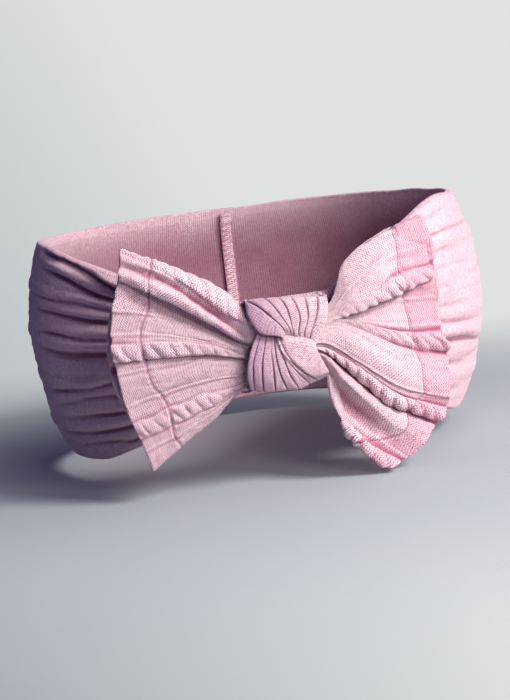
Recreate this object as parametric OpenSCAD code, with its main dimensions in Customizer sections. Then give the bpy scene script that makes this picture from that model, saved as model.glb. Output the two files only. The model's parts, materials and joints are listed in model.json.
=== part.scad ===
// Knotted headband: a gathered knit band, a two-winged bow and the knotted strip that binds them.
// The origin is the centre of the head. +Z points to the crown and the knot faces -Y.

/* [Head] */
// Radius of the head that the band is stretched over
head_r = 68; // [55:1:85]

/* [Band] */
// Height of the band's top edge above the head's widest circle
band_above = 28; // [20:1:34]
// Depth of the band's bottom edge below the head's widest circle
band_below = 36.5; // [24:0.5:42]
// Angle from the knot at which the top edge reaches its full height, left of the knot
top_spread_left = 90; // [60:5:90]
// Angle from the knot at which the top edge reaches its full height, right of the knot
top_spread_right = 60; // [60:5:90]
// Angle from the knot at which the bottom edge reaches its full depth
bottom_spread = 70; // [60:5:90]
// Thickness of the band, a flattened knit tube of two plies
band_t = 2.2; // [1.4:0.1:3]
// Thickness of the gathered band under the knot
gather_t = 5; // [3:0.5:8]
// Width of the sewn ridge that joins the band's ends
seam_w = 4; // [3:0.5:7]
// How far the sewn ridge stands in from the band
seam_t = 1.4; // [1:0.1:2]

/* [Knot] */
// Width of the knot across the bow
knot_w = 22; // [18:1:28]
// Height of the knot
knot_h = 25.5; // [23:0.5:32]
// Height of the knot's middle above the head's widest circle
knot_z = -3; // [-6:0.5:0]
// Thickness of each strand on the knot's front
strand_t = 4.7; // [3.5:0.1:6]
// Thickness of the strip where it lies flat
strip_t = 1.4; // [1:0.1:2]

/* [Bow] */
// Thickness of one ply of the bow's knit
ply = 0.8; // [0.5:0.1:1.2]
// Thickness of the pinched waist, front to back
waist_t = 7; // [5:0.5:9]
// Radius of the bundle where each wing leaves the knot
neck_r = 2.4; // [1.8:0.1:3]
// How far each wing's neck stays short of the knot's wraps, at the top and at the bottom
neck_inset = 2.1; // [1.5:0.1:3]
// Reach of the left wing from its neck to the middle of its mouth
left_len = 33; // [26:1:40]
// Reach of the right wing from its neck to the middle of its mouth
right_len = 32; // [26:1:40]
// How far the left wing's top corner stands above the knot's middle
left_up = 29; // [22:1:34]
// How far the left wing's bottom corner hangs below the knot's middle
left_down = 31; // [22:1:34]
// How far the right wing's top corner stands above the knot's middle
right_up = 29; // [22:1:34]
// How far the right wing's bottom corner hangs below the knot's middle
right_down = 38; // [26:1:42]
// Gap between the two plies at the middle of each mouth
mouth_gap = 5; // [2:0.5:8]
// Width of the hem at each mouth
hem_w = 7; // [5:0.5:10]
// Angle that the left wing leans back from the knot's face
left_lean = 7; // [0:1:12]
// Angle that the right wing leans back from the knot's face
right_lean = 13; // [0:1:16]

/* [Thread] */
// Diameter of the sewing thread
thread_d = 0.4; // [0.3:0.05:0.6]
// Length of one hem stitch
stitch_l = 1.8; // [1.2:0.1:2.4]
// Number of stitches along each ply of a hem
hem_stitches = 18; // [10:1:24]
// Number of turns of the thread that binds the waist
bind_turns = 6; // [4:1:9]

/* [Hidden] */

cloth_colour = [0.90, 0.70, 0.76];
thread_colour = [0.80, 0.56, 0.64];
gap = 0.3;             // clearance between pieces that lie on each other
fine = 0.1;            // clearance between pieces that meet edge to edge
lift = fine + thread_d / 2;    // height of a stitch's middle above the cloth that it lies on

// The stack at the knot, from the head outwards
gather_in = head_r + strip_t + gap;
gather_out = gather_in + gather_t;
waist_in = gather_out + gap;
waist_y = -(waist_in + waist_t / 2);
strand_in = waist_in + waist_t + gap;
strand_y = -(strand_in + strand_t / 2);

// The knotted strip squeezes the band to the height inside it
gather_w = knot_h - 2 * (strip_t + gap);

// Where each wing hinges on the knot
neck_x = knot_w / 2 + neck_r + 0.6;
neck_z = knot_z - 1;
neck_h = knot_h - 2 * (strip_t + neck_inset);

// ---------- shared shapes ----------

function smooth(t) = let (c = min(1, max(0, t))) c * c * (3 - 2 * c);
function bezier(p, t) =
    pow(1 - t, 3) * p[0] + 3 * pow(1 - t, 2) * t * p[1] + 3 * (1 - t) * t * t * p[2] + pow(t, 3) * p[3];
function flat(lists) = [for (a = lists) for (b = a) b];

// A skin over a row of closed loops. Each loop has 2n points, and point j faces point 2n-j.
function side_faces(rows, k) = [
    for (i = [0:rows - 2]) for (j = [0:k - 1])
        let (a = i * k + j, b = i * k + (j + 1) % k, c = (i + 1) * k + (j + 1) % k, d = (i + 1) * k + j)
            each [[a, b, c], [a, c, d]]];
function cap_faces(first, k, turned) = [
    for (j = [0:k / 2 - 1])
        let (a = first + j, b = first + j + 1, c = first + (k - j - 1) % k, d = first + (k - j) % k)
            for (f = concat(j < k / 2 - 1 ? [[a, c, b]] : [], j > 0 ? [[a, d, c]] : []))
                turned ? [f[2], f[1], f[0]] : f];
module skin(loops) {
    k = len(loops[0]);
    polyhedron(flat(loops),
        concat(side_faces(len(loops), k), cap_faces(0, k, false), cap_faces((len(loops) - 1) * k, k, true)));
}

// A straight stitch of thread from one point to another
module stitch(from, to) {
    d = to - from;
    translate(from)
        rotate([0, acos(d[2] / norm(d)), atan2(d[1], d[0])])
            cylinder(d = thread_d, h = norm(d), $fn = 16);
}

// ---------- band ----------

around = 96;           // stations round the band
across = 16;           // steps across the band's width
gather_flat = asin((knot_w / 2 + 2) / gather_out);     // degrees over which the band stays gathered
gather_end = gather_flat + 20;                         // degrees at which it lies on the head again

// Angle from the knot, whichever way round
function from_knot(a) = min(a, 360 - a);
function gathered(a) = 1 - smooth((from_knot(a) - gather_flat) / (gather_end - gather_flat));
// From the gathers each edge spreads along a sine curve, up to its full distance at the angle end
function spread(a, end) =
    sin(90 * min(1, max(0, (from_knot(a) - gather_flat) / (end - gather_flat))));
function edge_height(a, full, side, end) =
    let (tied = knot_z + side * gather_w / 2) tied + (side * full - tied) * spread(a, end);
function band_in(a) = head_r + (gather_in - head_r) * gathered(a);
function band_out(a) = head_r + band_t + (gather_out - head_r - band_t) * gathered(a);
function on_head(r, a, z) = let (q = sqrt(r * r - z * z)) [q * sin(a), -q * cos(a), z];
function band_loop(a) =
    let (top = edge_height(a, band_above, 1, a < 180 ? top_spread_right : top_spread_left),
         bottom = edge_height(a, band_below, -1, bottom_spread),
         middle = (top + bottom) / 2, half = (top - bottom) / 2)
    [for (j = [0:across]) on_head(band_out(a), a, middle + half * cos(180 * j / across)),
     for (j = [across:-1:0]) on_head(band_in(a), a, middle + half * cos(180 * j / across))];

module band() {
    k = 2 * across + 2;
    loops = [for (i = [0:around - 1]) band_loop(i * 360 / around)];
    color(cloth_colour)
        polyhedron(flat(loops), [
            for (i = [0:around - 1]) for (j = [0:k - 1])
                let (n = (i + 1) % around, m = (j + 1) % k)
                    each [[i * k + j, n * k + j, n * k + m], [i * k + j, n * k + m, i * k + m]]]);
}

// Degrees of the head's arc between the band's edges at the back
function seam_top() = asin(band_above / head_r) - 1;
function seam_bottom() = -asin(band_below / head_r) + 1;

// An arc of the head's middle plane at the back, from r1 to r2
module back_arc(r1, r2, width) {
    steps = 24;
    angles = [for (i = [0:steps]) seam_bottom() + (seam_top() - seam_bottom()) * i / steps];
    rotate([90, 0, 90])
        linear_extrude(width, center = true)
            polygon([for (a = angles) r2 * [cos(a), sin(a)],
                     for (i = [steps:-1:0]) r1 * [cos(angles[i]), sin(angles[i])]]);
}

module band_back_seam() {
    color(cloth_colour)
        back_arc(head_r - gap / 2 - seam_t, head_r - gap / 2, seam_w);
}

// Overlock stitches lie aslant across the ridge, a fixed step apart
module band_seam_thread() {
    r = head_r - gap / 2 - seam_t - lift;
    step = 3;
    slant = 0.6;
    count = floor((seam_top() - seam_bottom() - 2) / step);
    color(thread_colour)
        for (i = [0:count - 1]) {
            a = seam_bottom() + 2 + i * step;
            stitch([-seam_w / 2 + 0.3, r * cos(a - slant), r * sin(a - slant)],
                   [seam_w / 2 - 0.3, r * cos(a + slant), r * sin(a + slant)]);
        }
}

// ---------- knot ----------

// Height of the slanting crease between the two strands
function crease(x) = knot_z + 0.3 - 0.3 * x;
strand_r = strand_t / 2;
wrap_w = knot_w - 2;                     // width of the strip over the top and under the bottom
wrap_top = knot_z + knot_h / 2;
wrap_bottom = knot_z - knot_h / 2;
wrap_back = -(gather_in - gap);          // where the wraps meet the tails inside the band
reach = knot_w / 2 - strand_r;
rise = knot_h / 2 - strand_r;
crease_gap = strand_r + 0.2;

module bead(x, z) {
    translate([x, strand_y, z]) sphere(r = strand_r, $fn = 32);
}

// The flat stretch of strip from the knot's front to the head
module wrap(z) {
    translate([-wrap_w / 2, strand_y, z])
        cube([wrap_w, wrap_back - fine - strand_y, strip_t]);
}

module knot_upper_strand() {
    color(cloth_colour) {
        hull() {
            bead(-reach, knot_z + rise);
            bead(reach, knot_z + rise);
            bead(0.9 * reach, crease(0.9 * reach) + crease_gap);
            bead(-0.9 * reach, crease(-0.9 * reach) + crease_gap);
        }
        wrap(wrap_top - strip_t);
    }
}

module knot_lower_strand() {
    color(cloth_colour) {
        hull() {
            bead(-reach, knot_z - rise);
            bead(reach, knot_z - rise);
            bead(0.9 * reach, crease(0.9 * reach) - crease_gap);
            bead(-0.9 * reach, crease(-0.9 * reach) - crease_gap);
        }
        wrap(wrap_bottom);
    }
}

// A tail lies on the head, inside the band, between two heights
module tail(low, high) {
    intersection() {
        difference() {
            sphere(r = head_r + strip_t, $fn = 96);
            sphere(r = head_r, $fn = 96);
        }
        translate([-wrap_w / 2, -2 * head_r, low]) cube([wrap_w, 2 * head_r, high - low]);
    }
}

module knot_upper_tail() {
    color(cloth_colour) tail(knot_z + fine, wrap_top);
}

module knot_lower_tail() {
    color(cloth_colour) tail(wrap_bottom, knot_z - fine);
}

// Whip stitches across the butted tails, on the head side
module knot_closing_thread() {
    count = 7;
    bite = 1.4;
    color(thread_colour)
        for (i = [0:count - 1]) {
            x = wrap_w * ((i + 0.5) / count - 0.5);
            y = -sqrt(pow(head_r - lift, 2) - x * x);
            stitch([x - 0.2, y, knot_z - bite], [x + 0.2, y, knot_z + bite]);
        }
}

// ---------- bow ----------

pinch_r = waist_t / 2 - thread_d;        // radius of the waist under its binding
pinch_w = bind_turns * thread_d * 1.5;   // length of waist that the binding covers
waist_end = neck_x - 0.2;

module waist_half(side) {
    difference() {
        hull() {
            translate([side * pinch_w / 2, waist_y, neck_z])
                rotate([0, 90, 0]) cylinder(r = pinch_r, h = 0.2, center = true, $fn = 32);
            for (z = [-1, 1])
                translate([side * waist_end, waist_y, neck_z + z * (neck_h / 2 - neck_r)])
                    rotate([0, 90, 0]) cylinder(r = neck_r, h = 0.2, center = true, $fn = 32);
        }
        translate([side * neck_x, waist_y, neck_z])
            cylinder(r = neck_r + gap, h = 2 * neck_h, center = true, $fn = 48);
    }
}

module bow_waist() {
    color(cloth_colour) {
        waist_half(-1);
        waist_half(1);
        translate([0, waist_y, neck_z])
            rotate([0, 90, 0]) cylinder(r = pinch_r, h = pinch_w, center = true, $fn = 48);
    }
}

module waist_binding_thread() {
    color(thread_colour)
        for (i = [0:bind_turns - 1])
            translate([(i - (bind_turns - 1) / 2) * thread_d * 1.4, waist_y, neck_z])
                rotate([0, 90, 0])
                    rotate_extrude($fn = 48)
                        translate([pinch_r + lift, 0]) circle(d = thread_d, $fn = 16);
}

// A wing's frame has u out from its neck, v forwards off the head and z up, from the knot's middle.
module at_neck(side, lean) {
    translate([side * neck_x, waist_y, knot_z])
        rotate([0, 0, side * lean])
            mirror([side < 0 ? 1 : 0, 0, 0])
                mirror([0, 1, 0])
                    children();
}

neck_top = neck_z - knot_z + neck_h / 2;
neck_bottom = neck_z - knot_z - neck_h / 2;
wing_root = 0.2;                         // where the plies start, inside the neck's bundle

// The mouth's curve, from its top corner to its bottom corner, as [out, up]
function left_mouth() = [[0.85 * left_len, left_up], [1.06 * left_len, 0.4 * left_up],
                         [1.06 * left_len, -0.3 * left_down], [0.8 * left_len, -left_down]];
function right_mouth() = [[0.85 * right_len, right_up], [0.93 * right_len, 0.2 * right_up],
                          [1.31 * right_len, -0.82 * right_down], [0.28 * right_len, -right_down]];

// A point on a wing: s runs from neck to mouth, w from top fold to bottom fold, v stands off the middle
function wing_point(mouth, puff, s, w, v) =
    let (m = bezier(mouth, w), n = [wing_root, neck_top + (neck_bottom - neck_top) * w],
         p = n + (m - n) * s)
    [p[0], v, p[1] + puff * sin(180 * s) * (1 - w)];

// Half the space between the plies at s
function half_gap(s) = mouth_gap / 2 * smooth(s);
function half_bundle(s) = (neck_r - ply - 0.3) * pow(1 - s, 3);
function outer_loop(mouth, puff, s, n) = [
    for (j = [0:2 * n - 1]) let (a = 180 * j / n)
        wing_point(mouth, puff, s, (1 - cos(a)) / 2, (half_gap(s) + half_bundle(s) + ply) * sin(a))];
function inner_loop(mouth, puff, s, n) =
    let (height = norm(bezier(mouth, 1) - bezier(mouth, 0)) * s + neck_h * (1 - s),
         inset = ply / height)
    [for (j = [0:2 * n - 1]) let (a = 180 * j / n)
        wing_point(mouth, puff, s, 0.5 - (0.5 - inset) * cos(a), half_gap(s) * sin(a))];

module wing(mouth, puff) {
    n = 12;
    hollow_from = 0.3;
    outer = [for (s = [0:0.1:1]) outer_loop(mouth, puff, s, n)];
    inner = [for (s = [1:-0.1:hollow_from - 0.01]) inner_loop(mouth, puff, s, n)];
    skin(concat(outer, inner));
}

// A row of stitches a hem's width from the mouth, on both plies
module hem_thread(mouth, puff, length) {
    s = 1 - hem_w / length;
    for (face = [-1, 1])
        for (i = [0:hem_stitches - 1]) {
            w = (i + 1) / (hem_stitches + 1);
            v = face * ((half_gap(s) + ply + half_bundle(s)) * 2 * sqrt(w * (1 - w)) + lift);
            middle = wing_point(mouth, puff, s, w, v);
            along = wing_point(mouth, puff, s, w + 0.01, v) - wing_point(mouth, puff, s, w - 0.01, v);
            reach_out = along / norm(along) * stitch_l / 2;
            stitch(middle - reach_out, middle + reach_out);
        }
}

// The pleats of a wing's neck, bunched into a round bundle that the wing hinges about
module neck() {
    translate([0, 0, neck_z - knot_z])
        cylinder(r = neck_r, h = neck_h, center = true, $fn = 48);
}

left_puff = 2;         // how far the left wing's top fold bows up
right_puff = 6;        // how far the right wing's top fold bows up

module left_wing() {
    color(cloth_colour)
        at_neck(-1, left_lean) {
            neck();
            wing(left_mouth(), left_puff);
        }
}

module left_hem_thread() {
    color(thread_colour)
        at_neck(-1, left_lean) hem_thread(left_mouth(), left_puff, left_len);
}

module right_wing() {
    color(cloth_colour)
        at_neck(1, right_lean) {
            neck();
            wing(right_mouth(), right_puff);
        }
}

module right_hem_thread() {
    color(thread_colour)
        at_neck(1, right_lean) hem_thread(right_mouth(), right_puff, right_len);
}

band();
band_back_seam();
band_seam_thread();
knot_upper_strand();
knot_lower_strand();
knot_upper_tail();
knot_lower_tail();
knot_closing_thread();
bow_waist();
waist_binding_thread();
left_wing();
left_hem_thread();
right_wing();
right_hem_thread();
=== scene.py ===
import json
import math

import bmesh
import bpy
import numpy as np
from mathutils import Matrix, Vector


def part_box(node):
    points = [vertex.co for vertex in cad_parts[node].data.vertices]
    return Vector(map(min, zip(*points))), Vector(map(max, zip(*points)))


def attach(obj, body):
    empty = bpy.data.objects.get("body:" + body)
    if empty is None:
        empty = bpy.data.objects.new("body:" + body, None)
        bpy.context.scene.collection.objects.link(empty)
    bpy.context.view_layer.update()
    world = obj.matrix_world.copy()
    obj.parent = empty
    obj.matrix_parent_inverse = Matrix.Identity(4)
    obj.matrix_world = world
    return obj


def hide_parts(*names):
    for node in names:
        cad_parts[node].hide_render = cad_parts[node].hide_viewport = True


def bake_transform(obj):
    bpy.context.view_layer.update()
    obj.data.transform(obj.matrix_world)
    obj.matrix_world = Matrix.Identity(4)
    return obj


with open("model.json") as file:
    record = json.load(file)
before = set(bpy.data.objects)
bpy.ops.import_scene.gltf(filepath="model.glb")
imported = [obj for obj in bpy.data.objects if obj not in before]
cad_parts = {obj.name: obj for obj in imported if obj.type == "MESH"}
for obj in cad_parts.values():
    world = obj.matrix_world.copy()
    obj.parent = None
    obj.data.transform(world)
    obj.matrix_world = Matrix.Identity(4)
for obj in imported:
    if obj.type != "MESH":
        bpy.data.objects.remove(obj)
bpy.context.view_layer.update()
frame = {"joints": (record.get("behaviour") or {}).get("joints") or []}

MM = 0.001


def box(node):
    """The lowest and the highest corner of a CAD node, in mm."""
    return [np.array(corner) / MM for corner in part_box(node)]


# ---------------------------------------------------------------- sizes, in millimetres

HEAD = 68.0  # radius of the head
band_low, band_high = box("band")
waist_low, waist_high = box("bow_waist")
hinges = {joint["child"]: np.array(joint["pos_m"]) / MM for joint in frame["joints"]}

BAND_TOP, BAND_BOTTOM = band_high[2], band_low[2]
KNOT_BOTTOM = box("knot_lower_strand")[0][2]
BACK_TOP = 7.7  # height of the knot's top behind the bow
WAIST_DEPTH = -(waist_low[1] + waist_high[1]) / 2
WAIST_HEIGHT = hinges["left_wing"][2] - 1
TAIL_END = box("knot_upper_tail")[0][2] - 0.1  # height at which the strip's ends meet
TAIL_HALF = 10.2  # half the width of a tail

LEAN = {"left_wing": 7.0, "right_wing": 13.0}  # degrees that each wing leans back
SIDE = {"left_wing": -1, "right_wing": 1}
WING_LENGTH = 36.0  # from the knot to the mouth, along the cloth
HEM_SEAM = 28.0  # where the hem's stitching crosses the knit
PINCH = -0.42  # where a wing's cloth reaches the bow's waist, as a share of its length
WING_CABLE, BACK_CABLE = 4.9, 4.4  # widths of the front's and the back's cables

PLY = 0.5  # thickness of one layer of knit
WING_PLY, HEM_PLIES = 0.45, 0.85  # depth of a wing's inside under its outside, and the same at its turned hem
HEM_THREAD, SEAM_THREAD, BINDING_THREAD = 0.26, 0.34, 0.44

# ---------------------------------------------------------------- curves, noise and relief


def smooth(x):
    """A rise from 0 to 1 that is eased at both ends."""
    x = np.clip(x, 0, 1)
    return x * x * (3 - 2 * x)


def through(knots, values, at):
    """A smooth curve through the values at the knots, read at the given places."""
    knots, values, at = (np.asarray(a, float) for a in (knots, values, at))
    flat = values.reshape(len(knots), -1)
    step = np.diff(knots)
    slope = np.diff(flat, axis=0) / step[:, None]
    tangent = np.empty_like(flat)
    tangent[0], tangent[-1] = slope[0], slope[-1]
    share = (step[1:] / (step[:-1] + step[1:]))[:, None]
    tangent[1:-1] = slope[:-1] * share + slope[1:] * (1 - share)
    i = np.clip(np.searchsorted(knots, at, side="right") - 1, 0, len(step) - 1)
    x = ((at - knots[i]) / step[i])[:, None]
    width = step[i][:, None]
    found = (
        (2 * x**3 - 3 * x**2 + 1) * flat[i]
        + (x**3 - 2 * x**2 + x) * width * tangent[i]
        + (3 * x**2 - 2 * x**3) * flat[i + 1]
        + (x**3 - x**2) * width * tangent[i + 1]
    )
    return found.reshape(len(at), *values.shape[1:])


def wander(x, y, seed):
    """Smooth noise from -1 to 1 over two directions."""
    table = np.random.RandomState(seed).uniform(-1, 1, (64, 64))
    x, y = np.broadcast_arrays(np.asarray(x, float), np.asarray(y, float))
    i, j = np.floor(x).astype(int), np.floor(y).astype(int)
    a, b = smooth(x - i), smooth(y - j)
    low = table[i % 64, j % 64] * (1 - a) + table[(i + 1) % 64, j % 64] * a
    high = table[i % 64, (j + 1) % 64] * (1 - a) + table[(i + 1) % 64, (j + 1) % 64] * a
    return low * (1 - b) + high * b


def cable(across, along, width=4.2, lobe=3.6, height=1.0, slant=0.42):
    """Relief of one knitted cable: a rope of slanting lobes between two grooves."""
    q = across / (width / 2)
    turn = (along / lobe + slant * q + 0.2 * wander(along / 2.3, width, 8)) % 1 - 0.5
    lump = np.sqrt(1 - (1.98 * turn) ** 2)
    round_top = np.sqrt(np.clip(1 - q * q, 0, 1))
    return height * (round_top * (0.2 + 0.85 * lump) - 0.25 * np.exp(-(((np.abs(q) - 1.12) / 0.22) ** 2)))


def rib(across, height=0.28):
    """Relief of one thin raised line between two shallow grooves."""
    grooves = 0.4 * height * np.exp(-(((np.abs(across) - 1.0) / 0.4) ** 2))
    return height * np.exp(-((across / 0.42) ** 2)) - grooves


def facing(points, closed_rows=False):
    """The unit normal at every point of a grid of points."""
    if closed_rows:
        wrapped = np.concatenate([points[-3:-1], points, points[1:3]])
        down = np.gradient(wrapped, axis=0)[2:-2]
    else:
        down = np.gradient(points, axis=0)
    right = np.gradient(points, axis=1)
    normal = np.cross(down, right)
    return normal / np.maximum(np.linalg.norm(normal, axis=2, keepdims=True), 1e-9)


# ---------------------------------------------------------------- making meshes


def hollows(points, normals, cells):
    """How far each point of a grid lies under the average of the points across it, in mm."""
    weight = np.exp(-0.5 * (np.arange(-3 * cells, 3 * cells + 1) / cells) ** 2)
    weight /= weight.sum()
    padded = np.pad(points, ((3 * cells, 3 * cells), (0, 0), (0, 0)), mode="edge")
    rows = len(points)
    average = sum(w * padded[k : k + rows] for k, w in enumerate(weight))
    return np.einsum("ijk,ijk->ij", average - points, normals)


def new_piece(name, mesh, material):
    """A smooth-shaded piece from a mesh."""
    piece = bpy.data.objects.new(name, mesh)
    bpy.context.scene.collection.objects.link(piece)
    mesh.materials.clear()
    mesh.materials.append(material)
    mesh.shade_smooth()
    return piece


def cloth(name, points, weave, material, turned=False, closed=False, cells=3):
    """A cloth piece from a grid that is moved onto points, in mm.

    weave holds each point's place along and across the knit. The corners keep how deep they lie in a fold,
    measured over a few cells, as the value "hollow", which the knit materials turn into painted shade.
    """
    rows, columns = points.shape[:2]
    shape = bmesh.new()
    bmesh.ops.create_grid(shape, x_segments=columns - 1, y_segments=rows - 1, size=1)
    places = {}
    for corner in shape.verts:
        j = round((corner.co.x + 1) / 2 * (columns - 1))
        i = round((corner.co.y + 1) / 2 * (rows - 1))
        places[corner.index] = (i, j)
        corner.co = Vector(points[i, j]) * MM
    knit = shape.loops.layers.uv.new("knit")
    for face in shape.faces:
        for loop in face.loops:
            i, j = places[loop.vert.index]
            loop[knit].uv = (weave[i, j, 0] * MM, weave[i, j, 1] * MM)
    if turned or (closed and shape.calc_volume(signed=True) < 0):
        bmesh.ops.reverse_faces(shape, faces=shape.faces)
    shape.normal_update()
    normals = np.zeros(points.shape)
    for corner in shape.verts:
        normals[places[corner.index]] = corner.normal
    deep = hollows(points, normals, cells)
    hollow = shape.verts.layers.float.new("hollow")
    for corner in shape.verts:
        corner[hollow] = deep[places[corner.index]]
    if closed:
        bmesh.ops.remove_doubles(shape, verts=shape.verts, dist=1e-6)
    mesh = bpy.data.meshes.new(name)
    shape.to_mesh(mesh)
    shape.free()
    return new_piece(name, mesh, material)


def thicken(piece, thickness, offset=-1.0):
    """Gives a sheet its thickness, and leaves the result in its mesh."""
    wall = piece.modifiers.new("ply", "SOLIDIFY")
    wall.thickness = thickness * MM
    wall.offset = offset
    bpy.context.view_layer.update()
    made = bpy.data.meshes.new_from_object(piece.evaluated_get(bpy.context.evaluated_depsgraph_get()))
    piece.modifiers.clear()
    piece.data = made
    return piece


def stitches(name, runs, thickness, material):
    """Short rods of thread with rounded ends, each from one point to another, in mm."""
    shape = bmesh.new()
    for start, end in runs:
        start, end = Vector(start), Vector(end)
        along = end - start
        size = Matrix.Diagonal((thickness / 2, thickness / 2, along.length / 2 + thickness / 4, 1))
        turn = along.to_track_quat("Z", "Y").to_matrix().to_4x4()
        place = Matrix.Translation((start + end) / 2 * MM) @ turn @ Matrix.Scale(MM, 4) @ size
        bmesh.ops.create_uvsphere(shape, u_segments=8, v_segments=6, radius=1, matrix=place)
    mesh = bpy.data.meshes.new(name)
    shape.to_mesh(mesh)
    shape.free()
    return new_piece(name, mesh, material)


# ---------------------------------------------------------------- materials


class Value:
    """A number inside a material. Sums and products of values add the nodes that work them out."""

    def __init__(self, tree, socket=None):
        self.tree, self.socket = tree, socket

    def node(self, kind, inputs=(), settings=(), out=0):
        """A new node's output. Its settings are made first, then its sockets get their values or links."""
        made = self.tree.nodes.new(kind)
        for key, value in dict(settings).items():
            setattr(made, key, value)
        for key, value in dict(inputs).items():
            if isinstance(value, Value):
                self.tree.links.new(value.socket, made.inputs[key])
            else:
                made.inputs[key].default_value = value
        return Value(self.tree, made.outputs[out])

    def maths(self, operation, *values):
        return self.node("ShaderNodeMath", dict(enumerate(values)), {"operation": operation})

    def __add__(self, other):
        return self.maths("ADD", self, other)

    def __sub__(self, other):
        return self.maths("SUBTRACT", self, other)

    def __rsub__(self, other):
        return self.maths("SUBTRACT", other, self)

    def __mul__(self, other):
        return self.maths("MULTIPLY", self, other)

    def __truediv__(self, other):
        return self.maths("DIVIDE", self, other)

    __radd__, __rmul__ = __add__, __mul__

    def fraction(self):
        return self.maths("FRACT", self)

    def size(self):
        return self.maths("ABSOLUTE", self)

    def cosine(self):
        return self.maths("COSINE", self)

    def sine(self):
        return self.maths("SINE", self)

    def part(self, axis):
        """One part of a place or a direction."""
        return self.node("ShaderNodeSeparateXYZ", {0: self}, out=axis)

    def ramp(self, start, end, low=0.0, high=1.0, **settings):
        """A number from low to high as this value goes from start to end."""
        return self.node("ShaderNodeMapRange", {0: self, 1: start, 2: end, 3: low, 4: high}, settings)

    def mixed(self, low, high):
        """A colour from low to high as this value goes from 0 to 1."""
        low, high = (end if isinstance(end, Value) else (*end, 1) for end in (low, high))
        settings = {"data_type": "RGBA", "clamp_factor": True}
        return self.node("ShaderNodeMix", {0: self, 6: low, 7: high}, settings, out=2)


def on_piece(start):
    """The place on a piece, in the piece's own frame."""
    return start.node("ShaderNodeTexCoord", out=3)


def on_knit(start):
    """The place along and across the knit."""
    return start.node("ShaderNodeUVMap", settings={"uv_map": "knit"})


def material(name, colour, roughness, normal, sheen):
    """A finished material from the functions that give what varies over it."""
    made = bpy.data.materials.new(name)
    made.use_nodes = True
    tree = made.node_tree
    surface = tree.nodes["Principled BSDF"]
    for socket, finish in (("Base Color", colour), ("Roughness", roughness), ("Normal", normal)):
        tree.links.new(finish(Value(tree)).socket, surface.inputs[socket])
    surface.inputs["Sheen Weight"].default_value = sheen
    surface.inputs["Sheen Roughness"].default_value = 0.45
    surface.inputs["Sheen Tint"].default_value = (1.0, 0.86, 0.9, 1)
    surface.inputs["Specular IOR Level"].default_value = 0.25
    return made


PINK = (0.81, 0.565, 0.605)
PALE_PINK = (0.91, 0.745, 0.76)
# Painted shade of the double-ply hem.
HEM_SHADE_PINK = (0.80, 0.47, 0.54)
# Painted shade: colours that the knit is darkened towards where it lies deep in a fold.
FOLD_SHADE_PINK = (0.17, 0.03, 0.075)
BOW_FOLD_SHADE_PINK = (0.34, 0.065, 0.14)
KNOT_FOLD_SHADE_PINK = (0.26, 0.06, 0.12)
# Painted shade: the colour of the gaps between stitches, the groove of the hem's seam and the thread's
# grooves.
PAINTED_SHADE_PINK = (0.32, 0.095, 0.165)
THREAD_PINK = (0.72, 0.36, 0.46)
# Painted shade: the mauve that the knot turns to on its left side.
LEFT_SHADE_MAUVE = (0.47, 0.32, 0.46)


def knit_material(name, wale, course, depth, hem=None, fold=(0.5, FOLD_SHADE_PINK), left_shade=0.0, gap_shade=1.3):
    """Fine knit: columns of slanting stitches, with painted shade in the gaps between them.

    Past hem mm along the knit the cloth is double. Its colour there is painted deeper, more so on the right,
    as painted shade of the double ply, and a line of painted shade darkens the groove of the hem's seam. fold
    is the hollow's depth at which the painted fold shade is full, and that shade's colour. left_shade is how
    far a painted shade turns the colour to mauve on the left, and gap_shade how strong the painted shade
    between stitches is.
    contrast how much darker the gaps between stitches are.
    """

    def stitch(start):
        along, across = on_knit(start).part(0), on_knit(start).part(1)
        leg = ((across / (wale * MM)).fraction() - 0.5).size()
        yarn = ((along / (course * MM) + leg * 1.5) * (2 * math.pi)).cosine() * 0.5 + 0.5
        column = (leg * (2 * math.pi)).sine()
        return yarn * (column * 0.6 + 0.4)

    def grain(start, scale, detail=2.0):
        return start.node("ShaderNodeTexNoise", {"Vector": on_piece(start), "Scale": scale, "Detail": detail})

    def dyed(start):
        ground = (grain(start, 90.0) * 0.9 + 0.05).mixed(PINK, PALE_PINK)
        if hem:
            along = on_knit(start).part(0)
            # Painted shade: the double-ply hem is darkened, more on the right than on the left.
            hem_shade_rightwards = on_piece(start).part(0).ramp(-0.02, 0.03, 0.15, 0.85)
            double = along.ramp(hem * MM, (hem + 0.5) * MM) * hem_shade_rightwards
            # Painted shade: a dark line in the groove of the hem's seam.
            seam = (along - hem * MM).size().ramp(0.10 * MM, 0.34 * MM, 0.65, 0.0)
            ground = seam.mixed(double.mixed(ground, HEM_SHADE_PINK), PAINTED_SHADE_PINK)
        if left_shade:
            # Painted shade: the colour turns to mauve towards the left, where the knot lies in shade.
            left_shade_mask = on_piece(start).part(0).ramp(-0.011, 0.001, left_shade, 0.0)
            ground = left_shade_mask.mixed(ground, LEFT_SHADE_MAUVE)
        return ground

    def colour(start):
        full, fold_shade_colour = fold
        hollow = start.node("ShaderNodeAttribute", settings={"attribute_name": "hollow"}, out=2)
        speckle = grain(start, 1400.0) * 1.3 - 0.65
        # Painted shade: the gaps between stitches are darkened towards the shade colour.
        lit = (stitch(start) * gap_shade + speckle + 0.1).mixed(PAINTED_SHADE_PINK, dyed(start))
        # Painted shade in folds: the deeper the hollow, the nearer the colour comes to the fold shade.
        return hollow.ramp(0.05, full, 0.0, 0.9).mixed(lit, fold_shade_colour)

    def roughness(start):
        return stitch(start) * -0.12 + 0.86

    def normal(start):
        height = stitch(start) + grain(start, 4200.0, 1.0) * 0.35
        return start.node("ShaderNodeBump", {"Strength": 0.9, "Distance": depth * MM, "Height": height})

    return material(name, colour, roughness, normal, 0.35)


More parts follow.
